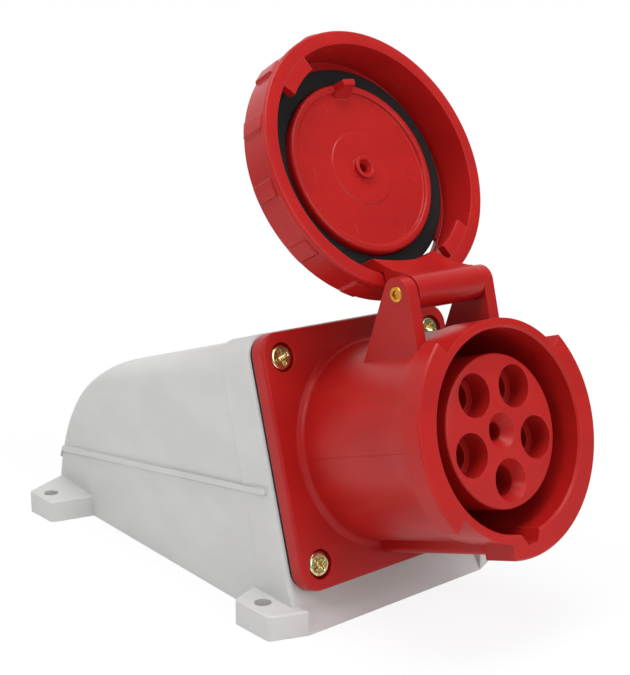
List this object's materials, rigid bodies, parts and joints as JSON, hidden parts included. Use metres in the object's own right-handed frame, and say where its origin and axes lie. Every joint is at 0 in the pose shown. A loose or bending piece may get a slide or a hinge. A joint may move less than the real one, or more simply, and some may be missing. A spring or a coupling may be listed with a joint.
{
  "type": "industrial wall socket",
  "caption": "Surface-mounted wall socket with a tilted round barrel, contact insert, grey back box and a hinged lid with a twist-lock ring.",
  "frame": {"origin": "centre of the four mounting holes on the wall face", "axes": "+Z away from the wall, -Y towards the socket's mouth, +X to the right seen from the mouth"},
  "size_m": [0.122, 0.2687, 0.2173],
  "materials": {
    "grey_plastic": "fine satin moulding",
    "grey_nut": "satin moulding",
    "red_plastic": "semi-gloss moulding",
    "red_insert": "semi-gloss moulding",
    "red_lid": "semi-gloss moulding",
    "red_disc": "satin moulding",
    "red_ring": "semi-gloss moulding",
    "black_rubber": "matt sheet rubber",
    "gasket_rubber": "matt foam rubber",
    "seal_rubber": "matt rubber",
    "yellow_zinc": "yellow passivated zinc",
    "zinc_steel": "bright zinc",
    "brass": "turned brass",
    "brass_pin": "bright brass"
  },
  "bodies": {
    "socket": {"back_box": "grey_plastic", "flange_gasket": "black_rubber", "socket_housing": "red_plastic", "contact_insert": "red_insert", "contact_l1": "brass", "contact_l2": "brass", "contact_l3": "brass", "contact_neutral": "brass", "contact_earth": "brass", "contact_pilot": "brass", "terminal_screws": "zinc_steel", "insert_screws": "zinc_steel", "flange_screws": "yellow_zinc", "hinge_pin": "brass_pin", "gland_nut": "grey_nut", "gland_seal": "seal_rubber"},
    "lid": {"lid_cap": "red_lid", "lid_gasket": "gasket_rubber", "lid_disc": "red_disc", "lid_screw": "zinc_steel"},
    "ring": {"locking_ring": "red_ring"}
  },
  "joints": [
    {"name": "lid_hinge", "type": "hinge", "parent": "socket", "child": "lid", "pos_m": [0, -0.11308, 0.12648], "axis": [1, 0, 0], "range_deg": [0, 188.93]},
    {"name": "ring_turn", "type": "hinge", "parent": "lid", "child": "ring", "pos_m": [0, -0.13316, 0.19505], "axis": [0, 0.9053, -0.4247], "range_deg": [-45, 0]}
  ]
}
